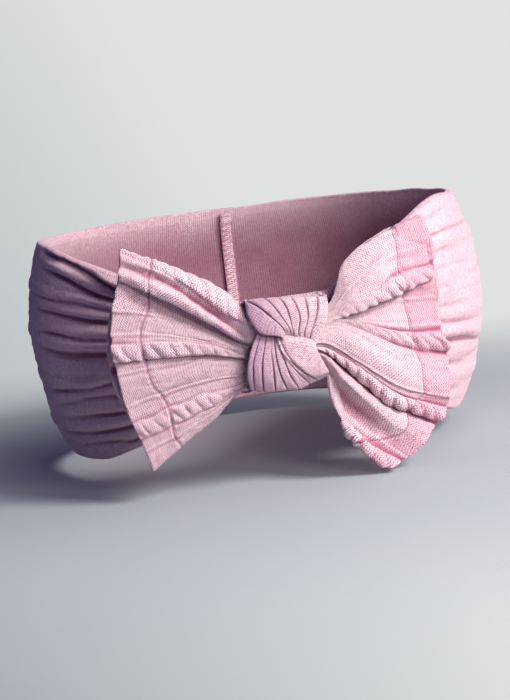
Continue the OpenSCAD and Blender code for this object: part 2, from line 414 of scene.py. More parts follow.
def thread_material(name):
    """Two-ply sewing thread: fine slanting ridges, with painted shade in the grooves between them."""

    def twist(start):
        x, y, z = (on_piece(start).part(axis) for axis in (0, 1, 2))
        return ((x + y + z) * (2 * math.pi / (0.35 * MM))).sine() * 0.5 + 0.5

    def colour(start):
        # Painted shade: the grooves of the twist are darkened.
        return twist(start).mixed(PAINTED_SHADE_PINK, THREAD_PINK)

    def roughness(start):
        return twist(start) * -0.1 + 0.7

    def normal(start):
        return start.node("ShaderNodeBump", {"Strength": 0.6, "Distance": 0.08 * MM, "Height": twist(start)})

    return material(name, colour, roughness, normal, 0.2)


bow_knit = knit_material(
    "bow_cable_knit",
    wale=0.76,
    course=0.66,
    depth=0.20,
    hem=HEM_SEAM,
    fold=(0.6, BOW_FOLD_SHADE_PINK),
    gap_shade=1.7,
)
band_knit = knit_material("stretched_cable_knit", wale=0.66, course=0.8, depth=0.12)
knot_knit = knit_material(
    "knot_plain_knit", wale=0.66, course=0.58, depth=0.16, fold=(0.6, KNOT_FOLD_SHADE_PINK), left_shade=0.75
)
thread = thread_material("sewing_thread")


def dress(piece, body, slot, *nodes):
    """Says what a piece moves with and hides the CAD parts that it stands for. slot, the finish that it
    takes, is not used.
    """
    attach(piece, body)
    if nodes:
        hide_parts(*nodes)


# ---------------------------------------------------------------- bow wings

# Each fold line of a wing's front ply: its place across the cloth, then [out, up, forward] of the neck,
# a third of the way, two thirds of the way and the mouth, all in the wing's own frame.
STATIONS = [0, 1 / 3, 2 / 3, 1]
LEFT_FOLDS = [
    (0.0, (-4.6, 8.4, 1.8), (2.6, 15.9, 0.8), (15.3, 23.1, 0.5), (28.0, 29.2, 0.0)),  # top fold
    (3.0, (-4.4, 5.6, 3.8), (4.0, 12.6, 3.0), (15.7, 21.5, 3.0), (28.1, 27.4, 1.4)),  # cable along it
    (6.0, (-3.9, 2.6, 3.0), (5.0, 9.5, 1.9), (16.5, 19.3, 1.9), (28.4, 25.3, 1.1)),  # crease
    (9.0, (-3.4, 1.2, 3.2), (5.8, 8.6, 4.3), (16.7, 17.2, 4.8), (28.8, 23.6, 2.8)),  # rolled pleat
    (11.6, (-3.3, 0.5, 2.2), (6.3, 7.0, 3.3), (17.3, 14.8, 3.8), (29.1, 21.7, 2.2)),  # its lower edge
    (14.2, (-3.2, 0.0, 1.2), (6.2, 8.0, 0.9), (17.3, 16.4, 0.7), (29.4, 21.6, 1.1)),  # tucked behind
    (18.0, (-2.9, -0.5, 1.0), (7.1, 5.8, 0.0), (18.2, 13.4, -0.2), (30.0, 19.8, 0.8)),  # valley
    (22.0, (-2.8, -1.0, 1.2), (7.1, 5.0, 1.1), (19.0, 10.9, 1.0), (31.0, 16.0, 1.4)),
    (26.2, (-2.8, -1.4, 1.8), (7.3, 3.7, 2.3), (19.3, 8.7, 1.9), (31.8, 12.1, 1.7)),
    (30.4, (-2.7, -2.0, 1.8), (6.9, 2.3, 2.6), (19.6, 6.3, 2.4), (32.5, 8.6, 1.8)),
    (35.6, (-2.6, -2.8, 1.8), (7.0, 0.9, 3.1), (19.6, 2.8, 3.3), (33.1, 3.2, 2.3)),  # middle cable
    (38.4, (-2.3, -3.3, 1.6), (7.5, -0.9, 2.6), (19.8, 0.1, 2.6), (33.0, 0.2, 1.9)),  # edge below it
    (40.0, (-2.3, -3.4, 0.9), (7.5, -0.6, 1.2), (19.8, 0.3, 1.4), (33.2, -0.6, 1.6)),  # tucked under
    (42.4, (-2.2, -3.9, 1.0), (7.8, -1.9, 1.7), (20.4, -1.4, 1.8), (33.1, -1.9, 1.7)),
    (45.6, (-2.1, -4.4, 1.4), (8.2, -3.0, 2.3), (21.0, -3.9, 2.1), (32.9, -4.3, 1.7)),
    (50.2, (-2.0, -5.7, 1.8), (8.7, -5.0, 2.8), (21.1, -7.1, 2.4), (32.1, -8.5, 1.8)),
    (54.6, (-1.8, -7.3, 1.7), (9.0, -7.7, 2.4), (20.3, -9.6, 2.2), (31.3, -12.4, 1.7)),
    (58.4, (-1.4, -8.3, 1.6), (9.0, -9.9, 2.4), (19.9, -12.7, 2.2), (30.4, -16.1, 1.7)),
    (62.0, (-1.0, -9.4, 1.2), (9.2, -13.2, 2.0), (19.6, -16.3, 2.0), (29.5, -19.5, 1.5)),  # lower cable
    (68.0, (-0.5, -10.6, 0.6), (9.5, -17.0, 1.2), (19.2, -21.4, 1.3), (28.1, -25.0, 1.0)),
    (74.0, (-0.4, -11.4, 0.0), (8.3, -18.3, 0.0), (17.5, -24.3, 0.0), (26.5, -30.6, 0.0)),  # bottom fold
]
RIGHT_FOLDS = [
    (0.0, (-2.3, 8.5, 0.0), (3.1, 18.9, 0.6), (14.2, 25.2, 0.6), (27.0, 28.3, -1.0)),  # top fold
    (8.5, (-2.5, 6.7, 1.2), (3.6, 12.6, 2.4), (13.4, 17.7, 2.4), (28.0, 19.4, -0.5)),
    (12.0, (-2.8, 5.7, 1.6), (3.7, 9.8, 3.0), (13.6, 14.6, 3.2), (28.0, 15.3, -0.3)),
    (15.4, (-3.0, 4.6, 1.8), (4.3, 7.2, 3.5), (14.7, 10.2, 3.7), (27.9, 12.3, 0.2)),  # upper cable
    (17.6, (-3.0, 3.8, 1.6), (4.7, 5.4, 2.7), (15.0, 8.2, 2.7), (28.0, 10.4, 0.0)),  # edge below it
    (19.6, (-2.7, 3.7, 0.8), (5.2, 5.8, 0.6), (15.9, 8.2, 0.5), (28.3, 8.6, -0.2)),  # tucked behind
    (23.8, (-3.0, 3.6, 0.8), (5.7, 4.6, 0.5), (16.6, 5.7, 0.4), (28.6, 5.2, -0.3)),
    (30.4, (-3.1, 3.5, 1.0), (5.7, 2.2, 1.2), (17.4, -1.3, 0.6), (29.6, -2.4, 0.0)),
    (36.2, (-3.6, 3.4, 1.4), (5.4, 0.7, 2.2), (16.3, -5.5, 1.8), (30.0, -9.7, 0.6)),  # middle cable
    (40.6, (-4.2, 3.0, 2.2), (4.7, -1.1, 3.4), (15.8, -9.1, 3.4), (29.7, -14.3, 1.8)),
    (44.6, (-5.2, 1.5, 2.8), (3.2, -4.3, 4.6), (15.1, -13.4, 4.6), (29.0, -18.5, 2.8)),  # big pleat
    (48.2, (-6.3, -1.4, 2.4), (2.9, -8.0, 3.8), (14.7, -17.0, 4.0), (28.1, -22.3, 2.4)),  # its lower edge
    (50.4, (-6.1, -1.8, 1.9), (3.0, -8.6, 3.3), (14.4, -17.6, 3.5), (28.2, -23.0, 2.0)),  # tucked behind
    (53.0, (-6.4, -2.4, 1.8), (2.5, -9.2, 3.3), (13.4, -18.5, 3.3), (27.5, -24.4, 1.6)),
    (56.0, (-6.6, -3.0, 1.6), (1.7, -9.9, 3.0), (12.0, -19.7, 3.4), (26.0, -26.6, 1.8)),  # lower cable
    (58.6, (-6.8, -3.6, 0.6), (0.6, -10.6, 0.2), (10.6, -20.6, 1.0), (24.6, -28.6, 0.9)),
    (61.6, (-7.1, -4.2, 1.5), (-0.3, -11.5, 2.6), (9.2, -21.6, 3.3), (22.4, -30.6, 2.2)),
    (65.4, (-7.4, -4.8, 2.0), (-1.7, -12.9, 4.2), (7.6, -23.2, 4.4), (19.4, -33.5, 2.6)),  # round lobe
    (69.4, (-7.2, -6.1, 0.6), (-3.0, -15.2, -0.4), (5.2, -25.0, 0.8), (15.4, -36.2, 1.4)),
    (72.6, (-6.5, -7.9, 0.4), (-4.2, -17.9, 0.2), (1.7, -27.1, 0.6), (12.9, -37.0, 0.8)),
    (76.0, (-6.0, -9.4, 0.4), (-4.4, -19.7, 1.4), (-0.4, -28.0, 2.0), (9.2, -38.0, 1.4)),  # bottom cable
    (79.5, (-5.1, -10.9, 0.0), (-2.7, -19.3, 0.0), (-0.8, -26.9, 0.2), (5.4, -37.1, 0.0)),  # bottom fold
]
# What else each wing has. A cable is its place across the cloth at the pinch, half way and at the mouth, then
# its height near the knot and near the mouth. A rib is its three places. back_cables are places across the
# back ply, bow_out is how far that ply bows outwards and the power that shapes it, slant is the slant of the
# cables' lobes, and seam is how far along the wing the hem's stitching lies at places across the cloth.
WINGS = {
    "left_wing": {
        "folds": LEFT_FOLDS,
        "cables": (
            (1.4, 1.2, -1.8, 1.0, 1.0),
            (35.6, 36.0, 36.6, 0.6, 1.1),
            (64.0, 62.0, 62.0, 0.7, 0.9),
        ),
        "ribs": (
            (23.0, 22.2, 24.4),
            (30.6, 31.2, 31.4),
            (44.0, 43.4, 44.6),
            (54.6, 54.6, 54.6),
            (70.0, 68.6, 68.0),
        ),
        "back_cables": (12.0, 35.0, 58.0),
        "bow_out": (7.7, 1.6),
        "seed": 5,
        "slant": 0.42,
        "seam": (
            (0, 12, 20, 28, 36, 45, 53, 60, 68, 76, 90, 148),
            (0.79, 0.79, 0.77, 0.80, 0.81, 0.765, 0.73, 0.69, 0.69, 0.71, 0.78, 0.79),
        ),
    },
    "right_wing": {
        "folds": RIGHT_FOLDS,
        "cables": (
            (17.0, 17.0, 15.0, 0.45, 1.3),
            (35.2, 34.2, 34.0, 1.0, 1.8),
            (55.8, 55.8, 56.2, 1.3, 1.9),
            (76.8, 76.6, 76.2, 0.3, 1.9),
        ),
        "ribs": (
            (8.5, 8.5, 8.5),
            (23.0, 23.4, 23.6),
            (30.4, 30.4, 30.0),
            (41.0, 40.6, 41.0),
            (48.4, 48.4, 48.0),
            (72.8, 72.0, 71.6),
        ),
        "back_cables": (14.0, 38.0, 62.0),
        "bow_out": (12.0, 0.8),
        "seed": 9,
        "slant": -0.65,
        "seam": (
            (0, 8.5, 20, 28, 36, 41, 48, 56, 62, 68, 76, 90, 159),
            (0.785, 0.79, 0.765, 0.74, 0.765, 0.80, 0.82, 0.80, 0.84, 0.85, 0.72, 0.77, 0.785),
        ),
    },
}


def back_folds(wing, count=11):
    """Lines of the back ply, from the bottom fold to the top fold: a plain fan with soft pleats."""
    top, bottom = (np.array(line[1:]) for line in (wing["folds"][0], wing["folds"][-1]))
    width = wing["folds"][-1][0]
    out, power = wing["bow_out"]
    lines = []
    for k in range(1, count):
        share = k / count
        line = bottom + (top - bottom) * share
        pleat = (-1) ** k
        for station, reach in enumerate(STATIONS):
            line[station, 0] += out * math.sin(math.pi * share) ** power * reach**1.5
            line[station, 2] = -(1.4 + 1.2 * reach) * math.sin(math.pi * share) ** 0.6
            line[station, 2] += pleat * (0.9 - 0.45 * reach)
        lines.append((width * (1 + share), *line))
    return lines


def wing_shape(wing, reach, across):
    """Points of a wing's tube, in its own frame, before its relief. Rows go across and columns along."""
    lines = wing["folds"] + back_folds(wing)
    around = 2 * wing["folds"][-1][0]
    places = np.array([line[0] for line in lines])
    control = np.array([line[1:] for line in lines], float)
    pinch = control[:, 0] * (0, 0.22, 0.5) + (-11.6, -0.8, 0)
    throat = control[:, 0] * (1, 0.84, 0.9) + (-3.4, -0.3, 0)
    control = np.concatenate([pinch[:, None], throat[:, None], control], axis=1)
    runs = through([PINCH, -0.13] + STATIONS, control.transpose(1, 0, 2), reach).transpose(1, 0, 2)
    before, after = places[-3:] - around, places[:3] + around
    places = np.concatenate([before, places, after])
    runs = np.concatenate([runs[-3:], runs, runs[:3]])
    return through(places, runs, across)


def wing_seam(wing, across):
    """How far along a wing the stitching of its hem lies."""
    return through(*wing["seam"], across) + 0.006 * wander(across / 3, 1, wing["seed"])


def wing_relief(wing, across, reach):
    """Height of cables, ribs, the hem's seam and small creases over a wing, in mm."""
    front_width = wing["folds"][-1][0]
    along = reach * WING_LENGTH
    raised = np.zeros(np.broadcast(across, along).shape)
    tight = 0.5 + 0.5 * smooth(reach / 0.35)
    around = 2 * front_width
    for *path, at_knot, at_mouth in wing["cables"]:
        middle = through((PINCH, 0.5, 1), path, reach[0])[None, :] - 0.4 * wander(along / 5, path[0], 3)
        away = (across - middle + around / 2) % around - around / 2
        tall = at_knot + (at_mouth - at_knot) * smooth((reach - 0.4) / 0.3)
        tall = tall * (1 + 0.3 * wander(along / 3.1, path[0], 6))
        raised += cable(away, along + path[0], width=WING_CABLE * tight, slant=wing["slant"]) * tall
    for place in wing["back_cables"]:
        behind = across - front_width - place
        raised += cable(behind, along + place, width=BACK_CABLE * tight)
        raised += rib(behind - 7) + rib(behind + 7)
    for path in wing["ribs"]:
        middle = through((PINCH, 0.5, 1), path, reach[0])[None, :]
        raised += rib(across - middle + 0.25 * wander(along / 6, path[0], 4))
    from_seam = (reach - wing_seam(wing, across[:, 0])[:, None]) * WING_LENGTH
    pucker = 0.2 * np.sin(2 * math.pi * across / 2.5 + 2 * wander(across / 9, 5, 2))
    raised += (0.06 + 0.8 * pucker) * np.exp(-(((np.abs(from_seam) - 0.9) / 0.6) ** 2))
    raised *= 1 - 0.4 * np.exp(-((from_seam / 0.6) ** 2))
    raised -= 0.34 * np.exp(-((from_seam / 0.34) ** 2))
    raised += 0.2 * wander(along / 7, across / 2.6, wing["seed"] + 1) * smooth(reach + 0.4)
    raised += 0.14 * wander(along / 2.0, across / 1.8, wing["seed"] + 2)
    return raised


def into_scene(name, points):
    """From a wing's own frame, [out, up, forward] of its hinge, to the scene's, still in mm."""
    lean, side = math.radians(LEAN[name]), SIDE[name]
    out = np.array([side * math.cos(lean), math.sin(lean), 0])
    forward = np.array([side * math.sin(lean), -math.cos(lean), 0])
    up = np.array([0, 0, 1])
    return hinges[name] + points[..., :1] * out + points[..., 1:2] * up + points[..., 2:] * forward


def wing_surface(name, reach, across, inset=0.0):
    """Finished points of a wing for a grid of reach and across, with their places in the knit."""
    wing = WINGS[name]
    base = wing_shape(wing, reach, across)
    rows = across[:, None]
    ragged = 0.25 * wander(rows / 1.5, 2, wing["seed"]) + 0.3 * wander(rows / 6, 8, wing["seed"])
    base[..., 0] += ragged * smooth((reach - 0.85) / 0.15)
    normal = facing(base, closed_rows=True)
    lift = wing_relief(wing, rows, reach[None, :]) - np.asarray(inset)
    along = HEM_SEAM + (reach[None, :] - wing_seam(wing, across)[:, None]) * WING_LENGTH
    weave = np.stack(np.broadcast_arrays(along, rows), axis=-1)
    return into_scene(name, base + normal * lift[..., None]), weave


def make_wing(name):
    """A wing as one piece of cloth: its outside, the rolled mouth, the turned-in hem and its inside."""
    front = WINGS[name]["folds"][-1][0]
    across = np.concatenate([np.linspace(0, front, 230, endpoint=False), np.linspace(front, 2 * front, 91)])
    outer, weave = wing_surface(name, np.linspace(PINCH, 1, 138), across)
    single = np.append(np.linspace(PINCH, 0.7, 36), 0.75)
    double = np.linspace(0.78, 1, 12)
    reach = np.concatenate([single, double])
    inset = np.repeat([WING_PLY, HEM_PLIES], [len(single), len(double)])
    inner, inner_weave = (part[:, ::-1] for part in wing_surface(name, reach, across, inset=inset))
    mouth, heel = outer[:, -1:], inner[:, :1]
    outward = mouth - outer[:, -3:-2]
    outward /= np.linalg.norm(outward, axis=2, keepdims=True)
    turn = np.linspace(0, math.pi, 5)[None, 1:-1, None]
    roll = (mouth + heel) / 2 + (mouth - heel) / 2 * np.cos(turn) + outward * 0.4 * np.sin(turn)
    roll_weave = np.repeat(weave[:, -1:], roll.shape[1], axis=1)
    points = np.concatenate([outer, roll, inner, outer[:, :1]], axis=1)
    points[-1] = points[0]
    places = np.concatenate([weave, roll_weave, inner_weave, weave[:, :1]], axis=1)
    return cloth(name + "_cloth", points, places, bow_knit, closed=True, cells=4)


def hem_stitches(name):
    """A row of straight stitches in the groove of the hem's seam, on both plies."""
    wing = WINGS[name]
    fine = np.arange(0, 2 * wing["folds"][-1][0], 0.25)
    reach = np.linspace(0.6, 0.95, 36)
    grid, _ = wing_surface(name, reach, fine, inset=-0.08)
    at = np.interp(wing_seam(wing, fine), reach, np.arange(len(reach)))
    low = np.floor(at).astype(int)
    part = (at - low)[:, None]
    rows = np.arange(len(fine))
    line = grid[rows, low] * (1 - part) + grid[rows, low + 1] * part
    runs = [(line[k], line[k + 6]) for k in range(4, len(line) - 7, 9)]
    return stitches(name.replace("wing", "hem_stitches"), runs, HEM_THREAD, thread)


# ---------------------------------------------------------------- knot

SIDE_CURL = 0.7  # how far past its outer crease lines a strand's cloth reaches, in pleats
PLEAT_HEIGHT, CREASE_DEPTH, CREASE_WIDTH = 0.62, 0.95, 0.19
# Crease lines on the knot's front, each as [depth of the crease at its start and end] and then points
# [right, up, forward of the ring's axis] from the edge that the strand turns over to where it tucks away.
UPPER_CREASES = [
    ((0.0, 0.0), (-11.0, 8.6, 82.4), (-10.6, 5.1, 84.6), (-8.2, 0.6, 85.6), (-2.8, -1.3, 86.0)),
    ((0.9, 0.6), (-10.4, 9.2, 83.2), (-8.3, 7.8, 85.2), (-5.8, 5.2, 86.2), (-2.3, 1.1, 86.6)),
    ((0.6, 0.5), (-5.6, 9.2, 83.4), (-4.0, 7.2, 85.4), (-2.4, 4.4, 86.2), (-0.6, 0.8, 86.4)),
    ((0.8, 0.2), (-1.8, 8.8, 83.4), (-0.8, 6.9, 85.4), (-0.2, 4.0, 86.1), (0.3, 0.2, 86.0)),
    ((0.8, 0.5), (1.5, 8.4, 83.4), (2.3, 5.7, 85.6), (2.5, 2.8, 86.0), (1.8, -0.9, 85.4)),
    ((0.5, 0.4), (4.8, 8.0, 83.4), (4.9, 5.1, 85.4), (4.6, 2.5, 85.8), (3.3, -1.4, 85.0)),
    ((0.9, 0.4), (8.2, 7.6, 83.2), (7.6, 4.7, 85.0), (6.7, 2.0, 85.2), (4.8, -2.4, 84.6)),
    ((0.0, 0.0), (10.7, 7.3, 82.4), (10.4, 4.6, 83.8), (9.4, 1.3, 84.2), (5.8, -5.2, 84.0)),
]
LOWER_CREASES = [
    ((0.0, 0.0),
     (-12.7, -13.8, 82.4), (-13.0, -10.6, 83.8), (-12.2, -6.4, 84.2), (-10.6, -2.4, 84.0), (-8.6, 1.1, 83.0)),
    ((0.4, 0.3),
     (-11.5, -14.4, 83.0), (-11.5, -10.3, 84.8), (-11.0, -6.6, 85.2), (-9.5, -2.8, 84.8), (-7.7, 0.7, 83.4)),
    ((0.9, 0.5),
     (-9.2, -14.9, 83.2), (-9.2, -11.2, 85.2), (-8.8, -7.2, 85.6), (-7.8, -3.6, 85.2), (-6.6, 0.0, 83.6)),
    ((1.1, 0.2),
     (-6.0, -15.3, 83.2), (-6.1, -11.3, 85.4), (-6.1, -7.5, 85.7), (-6.1, -4.1, 85.4), (-5.4, -0.6, 83.8)),
    ((1.0, 0.9),
     (-2.9, -15.3, 83.2), (-4.3, -11.1, 85.4), (-4.9, -7.2, 85.8), (-5.0, -4.0, 85.4), (-4.7, -0.9, 84.0)),
    ((0.5, 0.7),
     (0.1, -15.5, 83.2), (-1.9, -11.4, 85.4), (-2.9, -7.5, 85.9), (-3.9, -4.1, 85.6), (-4.2, -1.0, 84.2)),
    ((0.6, 0.5),
     (3.1, -14.7, 83.2), (0.5, -11.5, 85.5), (-1.6, -8.3, 86.0), (-3.2, -4.9, 85.8), (-3.9, -1.1, 84.7)),
    ((0.5, 0.4),
     (5.4, -14.1, 83.2), (2.4, -11.7, 85.6), (0.0, -9.2, 86.2), (-2.4, -5.6, 86.1), (-3.5, -1.3, 85.3)),
    ((0.0, 0.0),
     (8.5, -12.9, 82.4), (8.4, -11.7, 84.0), (7.5, -9.9, 84.8), (6.6, -7.6, 85.2), (5.7, -4.6, 85.2)),
]


def strand_lines(creases, over, tuck, sides):
    """A strand's lines from behind its edge to its tucked end, with a curled side before and after them.

    Each line is read at the stations, which are 0 at the edge and 1 where the crease lines end.
    """
    lines = np.array([line[1:] for line in creases], float)
    count, points_each = lines.shape[:2]
    edge = lines[:, 0]
    behind = [
        np.stack([edge[:, 0] * width, edge[:, 1] * keep + up * (1 - keep), np.full(count, forward)], axis=1)
        for width, keep, up, forward in over
    ]
    end = lines[:, -1] + np.array(tuck)
    lines = np.concatenate([np.stack(behind, axis=1), lines, end[:, None]], axis=1)
    stations = [-1.1, -0.75, -0.35] + list(np.linspace(0, 1, points_each)) + [1.2]
    grow = np.linspace(0.6, 1, len(stations))[:, None]
    first, last = lines[0] + np.array(sides[0]) * grow, lines[-1] + np.array(sides[1]) * grow
    return stations, np.concatenate([first[None], lines, last[None]])


def strand_relief(creases, bump, gaps, reach, across):
    """Height of the soft pleats between the crease lines, less the depth of the creases, in mm."""
    depth = np.array([line[0] for line in creases], float)
    count = len(creases)
    which = np.clip(np.floor(across).astype(int), 0, count - 2)
    share = across - which
    gap = gaps[which]
    inside = (across >= 0) & (across <= count - 1)
    fall = np.minimum(share, 1 - share)[:, None] * gap
    size = np.array(bump)[which][:, None] * np.minimum(gap, 4.5) / 4.5
    pleat = PLEAT_HEIGHT * size * (1 - np.abs(2 * share - 1.06)[:, None] ** 7.0) * inside[:, None]
    nearest = np.clip(np.round(across).astype(int), 0, count - 1)
    along = smooth(np.clip(reach, 0, 1))
    cut = depth[nearest][:, :1] * (1 - along) + depth[nearest][:, 1:] * along
    cut = cut * np.where(reach < 0, np.exp(reach * 1.2), 1.0)
    cut = cut * np.clip(gap / 2.2, 0, 1)
    pleat -= CREASE_DEPTH * cut * np.exp(-((fall / CREASE_WIDTH) ** 2)) * inside[:, None]
    fine = 0.10 * wander(reach[None, :] * 6, across[:, None] * 3, 21)
    return pleat * (0.4 + 0.6 * smooth((reach + 0.05) / 0.3)) + fine


def strand_weave(points):
    """Places along and across the knit, measured over a strand's cloth from its middle row."""
    middle = len(points) // 2
    length = np.cumsum(np.append(0, np.linalg.norm(np.diff(points[middle], axis=0), axis=1)))
    steps = np.linalg.norm(np.diff(points, axis=0), axis=2)
    side = np.cumsum(np.concatenate([np.zeros((1, points.shape[1])), steps]), axis=0)
    return np.stack(np.broadcast_arrays(length[None, :], side - side[middle]), axis=-1)


def strand(name, creases, bump, over, tuck, sides):
    """A pleated strand: soft pleats between its crease lines, with its sides curled under.

    bump is each pleat's height. over is the strand's path behind its edge, as [share of the edge's width,
    share of the edge's height that is kept, up, forward]. tuck moves the end that is tucked away, and sides
    the two sides, as [right, up, forward].
    """
    stations, lines = strand_lines(creases, over, tuck, sides)
    count = len(creases)
    reach = np.linspace(stations[0], stations[-1], 150)
    across = np.linspace(-SIDE_CURL, count - 1 + SIDE_CURL, 30 * count)
    knots = np.array([-SIDE_CURL] + list(range(count)) + [count - 1 + SIDE_CURL])
    runs = through(stations, lines.transpose(1, 0, 2), reach).transpose(1, 0, 2)
    base = through(knots, runs, across)
    base = np.stack([base[..., 0], -base[..., 2], base[..., 1]], axis=-1)
    gaps = np.linalg.norm(np.diff(runs[1:-1], axis=0), axis=2)
    in_view = (len(across) // 2, np.argmin(np.abs(reach - 0.29)), 1)
    normal = facing(base)
    if normal[in_view] > 0:
        normal = -normal
    points = base + normal * strand_relief(creases, bump, gaps, reach, across)[..., None]
    turned = facing(points)[in_view] < 0
    piece = cloth(name, points, strand_weave(points), knot_knit, turned=turned, cells=10)
    thicken(piece, PLY)
    return piece


def tail(name, low, high, seed):
    """An end of the knotted strip, lying flat on the head inside the band."""
    across = np.linspace(-TAIL_HALF, TAIL_HALF, 120)
    height = np.linspace(low, high, 50)
    pleats = 0.32 * np.abs(np.sin(math.pi * across / 2.9 + 0.8 * wander(across / 6, 3, seed)))
    fade = 0.6 + 0.4 * np.abs(height - TAIL_END) / 12
    side, up = np.broadcast_arrays(across[:, None], height[None, :])
    out = HEAD + 0.35 + pleats[:, None] * fade[None, :] + 0.1 * wander(side / 2, up / 3, seed)
    points = np.stack([side, -np.sqrt(out**2 - side**2 - up**2), up], axis=-1)
    weave = np.stack([up, side], axis=-1)
    piece = cloth(name, points, weave, knot_knit, turned=True)
    thicken(piece, PLY, offset=1.0)
    return piece


def closing_stitches():
    """A zigzag of thread that joins the ends of the two tails."""
    low, high = TAIL_END - 1.5, TAIL_END + 1.5

    def surface(x):
        return -math.sqrt((HEAD - 0.05) ** 2 - x * x)

    runs = []
    for k in range(9):
        x = -8.4 + 2.1 * k
        runs.append(((x - 0.3, surface(x), low), (x + 0.3, surface(x), high)))
        runs.append(((x + 0.3, surface(x), high), (x + 1.8, surface(x + 1.8), low)))
    return stitches("knot_closing_stitches", runs[:-1], SEAM_THREAD, thread)


# ---------------------------------------------------------------- waist of the bow


def bow_waist():
    """The pinched middle of the bow, squeezed into deep pleats by its binding."""
    right = np.linspace(-5.5, 5.5, 60)
    turn = np.linspace(0, 2 * math.pi, 145)
    spread = smooth((np.abs(right) - 1.4) / 4.0)
    pleats = 0.42 * np.abs(np.sin(turn * 7 + 0.6 * np.sin(turn * 2)))
    radius = 2.55 + pleats[:, None] * (0.5 + spread[None, :]) + 0.3 * spread[None, :]
    tall = 1 + 0.9 * spread[None, :]
    forward = -WAIST_DEPTH + radius * np.cos(turn)[:, None] * (1 - 0.25 * spread[None, :])
    height = WAIST_HEIGHT + radius * np.sin(turn)[:, None] * tall
    points = np.stack([np.broadcast_to(right[None, :], radius.shape), forward, height], axis=-1)
    weave = np.stack(np.broadcast_arrays(right[None, :], turn[:, None] * 8), axis=-1)
    piece = cloth("bow_waist_cloth", points, weave, bow_knit, closed=True)
    thicken(piece, PLY)
    return piece


def waist_binding():
    """Turns of thread drawn tight round the waist."""
    shape = bmesh.new()
    section = Matrix.Translation((3.28 * MM, 0, 0)) @ Matrix.Rotation(math.pi / 2, 4, "X")
    about = {"cent": (0, 0, 0), "axis": (0, 0, 1), "angle": 2 * math.pi, "steps": 48, "use_merge": True}
    for k in range(6):
        place = Matrix.Translation(Vector((-1.4 + 0.56 * k, -WAIST_DEPTH, WAIST_HEIGHT)) * MM)
        tilt = Matrix.Rotation(math.pi / 2, 4, "Y") @ Matrix.Rotation(0.03 * (-1) ** k, 4, "X")
        bmesh.ops.create_circle(shape, segments=8, radius=BINDING_THREAD / 2 * MM, matrix=section)
        corners = [corner for corner in shape.verts if not corner.tag]
        edges = [edge for edge in shape.edges if not edge.verts[0].tag]
        bmesh.ops.spin(shape, geom=corners + edges, **about)
        fresh = [corner for corner in shape.verts if not corner.tag]
        bmesh.ops.transform(shape, matrix=place @ tilt, verts=fresh)
        for corner in fresh:
            corner.tag = True
    bmesh.ops.recalc_face_normals(shape, faces=shape.faces)
    mesh = bpy.data.meshes.new("waist_binding_turns")
    shape.to_mesh(mesh)
    shape.free()
    return new_piece("waist_binding_turns", mesh, thread)


# ---------------------------------------------------------------- band

GATHER_FLAT = 10.0  # degrees each side of the knot where the band stays gathered
TIED_TOP, TIED_BOTTOM = BACK_TOP - 1.2, KNOT_BOTTOM + 1.7
BAND_CABLES = (0.163, 0.38, 0.60, 0.82)  # places of the cables, as shares of the height from the bottom edge
BAND_RIBS = (0.05, 0.235, 0.30, 0.455, 0.525, 0.675, 0.745, 0.93)
# Creases that run out from the knot: depth, width, and [degrees round from the knot, height] along each.
# Degrees below zero are on the left.
BAND_CREASES = [
    (2.6, 1.1, (-12, 4.8), (-40, 14.8), (-46, 18.1), (-53, 21.1), (-60, 23.6), (-76, 26.2)),
    (1.6, 1.0, (-12, 3.0), (-41, 11.9), (-48, 14.3), (-57, 17.6), (-72, 21.6)),
    (1.1, 0.9, (-12, 1.0), (-41, 8.9), (-52, 10.8), (-78, 14.6)),
    (1.5, 1.0, (-12, -1.0), (-42, 5.6), (-52, 7.1), (-80, 9.6)),
    (1.5, 0.9, (-12, -3.0), (-43, 0.6), (-57, 1.6), (-84, 3.0)),
    (2.0, 1.8, (-12, -5.0), (-43, -4.3), (-54, -3.7), (-80, -2.8)),
    (1.5, 1.0, (-12, -7.5), (-42, -11.4), (-52, -13.4), (-78, -16.4)),
    (1.1, 1.0, (-12, -9.0), (-43, -15.6), (-82, -20.6)),
    (1.0, 0.9, (-12, -10.5), (-43, -20.4), (-75, -24.5)),
    (1.4, 0.9, (-12, -12.0), (-42, -25.2), (-80, -29.4)),
    (1.0, 0.8, (-12, -13.2), (-43, -28.9), (-79, -33.6)),
    (0.9, 1.3, (12, 5.6), (42, 21.6), (62, 24.8)),
    (0.6, 1.2, (12, 4.4), (42, 17.2), (57, 18.5), (74, 19.0)),
    (0.5, 1.2, (12, 2.8), (43, 13.4), (60, 12.8)),
    (0.5, 1.3, (12, 1.0), (43, 8.2), (70, 8.8)),
    (0.8, 1.2, (12, -1.0), (42, 3.0), (51, 3.4), (76, 3.0)),
    (0.5, 1.2, (12, -3.0), (43, -2.5), (66, -3.8)),
    (0.8, 1.2, (12, -5.2), (44, -7.1), (50, -7.6), (68, -9.8)),
    (1.7, 1.0, (12, -7.6), (45, -12.6), (54, -14.1), (65, -15.9), (86, -17.6)),
    (0.8, 1.2, (12, -10.0), (46, -19.0), (62, -20.3), (78, -21.0)),
    (0.7, 1.2, (12, -12.4), (48, -27.7), (63, -28.8)),
]


def band_edges(angle):
    """Heights of the band's top and bottom edges at angles from the knot, in degrees."""
    away = np.minimum(angle, 360 - angle)

    def spread(end):
        return np.sin(np.radians(90 * np.clip((away - GATHER_FLAT) / (end - GATHER_FLAT), 0, 1)))

    top = TIED_TOP + (BAND_TOP - 0.3 - TIED_TOP) * np.where(angle < 180, spread(60), spread(90))
    bottom = TIED_BOTTOM + (BAND_BOTTOM + 0.3 - TIED_BOTTOM) * spread(70)
    return top, bottom


